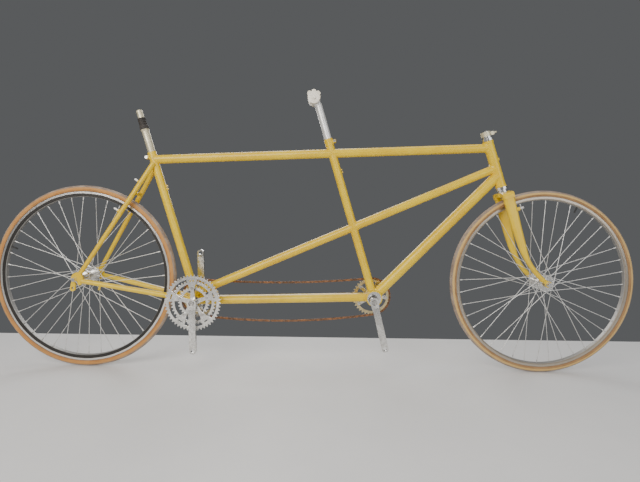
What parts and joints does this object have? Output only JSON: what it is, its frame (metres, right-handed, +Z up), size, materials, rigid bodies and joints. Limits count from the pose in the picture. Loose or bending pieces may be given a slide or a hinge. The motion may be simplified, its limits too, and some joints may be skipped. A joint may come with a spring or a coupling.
{
  "type": "tandem bicycle",
  "caption": "Two-seat road bicycle: brazed tube frame, steering fork, spoked wheels, linked cranks with a timing chain, and sliding seat posts.",
  "frame": {"origin": "on the ground, midway between the two axles, in the bicycle's middle plane", "axes": "+X forward, +Y to the rider's left, +Z up"},
  "size_m": [2.4058, 0.18, 1.0436],
  "materials": {
    "yellow_paint": "aged gloss",
    "alloy": "polished, a little dull",
    "steel": "plated",
    "rusty_steel": "rusted",
    "dark_rim": "satin with worn brake tracks",
    "gold_alloy": "satin",
    "tyre": "tan side walls and a grey tread",
    "tube_rubber": "matt",
    "sleeve_rubber": "matt"
  },
  "bodies": {
    "frame": {"head_tube": "yellow_paint", "front_top_tube": "yellow_paint", "rear_top_tube": "yellow_paint", "front_lateral_tube": "yellow_paint", "rear_lateral_tube": "yellow_paint", "down_tube": "yellow_paint", "boom_tube": "yellow_paint", "captain_seat_tube": "yellow_paint", "stoker_seat_tube": "yellow_paint", "captain_bb_shell": "yellow_paint", "stoker_bb_shell": "yellow_paint", "chain_stays": "yellow_paint", "seat_stays": "yellow_paint", "rear_dropouts": "yellow_paint", "frame_fittings": "yellow_paint", "seat_binder_bolts": "steel", "headset_cups": "alloy", "stoker_bottom_bracket": "steel", "rear_axle": "steel", "rear_quick_release": "alloy", "timing_chain": "rusty_steel"},
    "eccentric": {"eccentric_insert": "alloy", "captain_bottom_bracket": "steel"},
    "fork": {"steerer_tube": "steel", "fork_crown": "yellow_paint", "fork_blades": "yellow_paint", "fork_tips": "yellow_paint", "fork_brake_bosses": "yellow_paint", "headset_races": "alloy", "headset_locknut": "gold_alloy", "front_axle": "steel", "front_quick_release": "alloy"},
    "front_wheel": {"front_hub": "alloy", "front_spokes": "steel", "front_rim": "alloy", "front_inner_tube": "tube_rubber", "front_tyre": "tyre"},
    "rear_wheel": {"rear_hub": "alloy", "rear_spokes": "steel", "rear_rim": "dark_rim", "rear_inner_tube": "tube_rubber", "rear_tyre": "tyre"},
    "stoker_crankset": {"stoker_spindle": "steel", "stoker_right_crank": "alloy", "stoker_left_crank": "alloy", "outer_chainring": "alloy", "middle_chainring": "alloy", "inner_chainring": "alloy", "stoker_timing_ring": "gold_alloy", "stoker_crank_bolts": "steel"},
    "captain_crankset": {"captain_spindle": "steel", "captain_right_crank": "alloy", "captain_left_crank": "alloy", "captain_timing_ring": "gold_alloy", "captain_crank_bolts": "steel"},
    "captain_post": {"captain_seatpost": "alloy"},
    "saddle_clamp": {"captain_saddle_clamp": "alloy"},
    "stoker_post": {"stoker_seatpost": "gold_alloy", "stoker_post_sleeve": "sleeve_rubber"}
  },
  "joints": [
    {"name": "steering", "type": "hinge", "parent": "frame", "child": "fork", "pos_m": [0.64356, 0, 0.86675], "axis": [-0.309, 0, 0.9511], "range_deg": [-90, 90]},
    {"name": "front_wheel_spin", "type": "hinge", "parent": "fork", "child": "front_wheel", "pos_m": [0.86, 0, 0.343], "axis": [0, 1, 0], "continuous": true},
    {"name": "rear_wheel_spin", "type": "hinge", "parent": "frame", "child": "rear_wheel", "pos_m": [-0.86, 0, 0.343], "axis": [0, 1, 0], "continuous": true},
    {"name": "stoker_cranks_turn", "type": "hinge", "parent": "frame", "child": "stoker_crankset", "pos_m": [-0.439, 0, 0.258], "axis": [0, 1, 0], "continuous": true},
    {"name": "eccentric_turn", "type": "hinge", "parent": "frame", "child": "eccentric", "pos_m": [0.23, 0, 0.278], "axis": [0, 1, 0], "range_deg": [-8, 12]},
    {"name": "captain_cranks_turn", "type": "hinge", "parent": "eccentric", "child": "captain_crankset", "pos_m": [0.22703, 0, 0.271], "axis": [0, 1, 0], "continuous": true},
    {"name": "captain_post_slide", "type": "slide", "parent": "frame", "child": "captain_post", "axis": [-0.2899, 0, 0.9571], "range_m": [-0.12, 0.08]},
    {"name": "captain_clamp_tilt", "type": "hinge", "parent": "captain_post", "child": "saddle_clamp", "pos_m": [-0.00239, 0, 1.01425], "axis": [0, 1, 0], "range_deg": [-15, 15]},
    {"name": "stoker_post_slide", "type": "slide", "parent": "frame", "child": "stoker_post", "axis": [-0.2899, 0, 0.9571], "range_m": [-0.075, 0.07]}
  ],
  "couplings": [
    {"joint": "captain_cranks_turn", "follows": "stoker_cranks_turn", "ratio": 1}
  ]
}
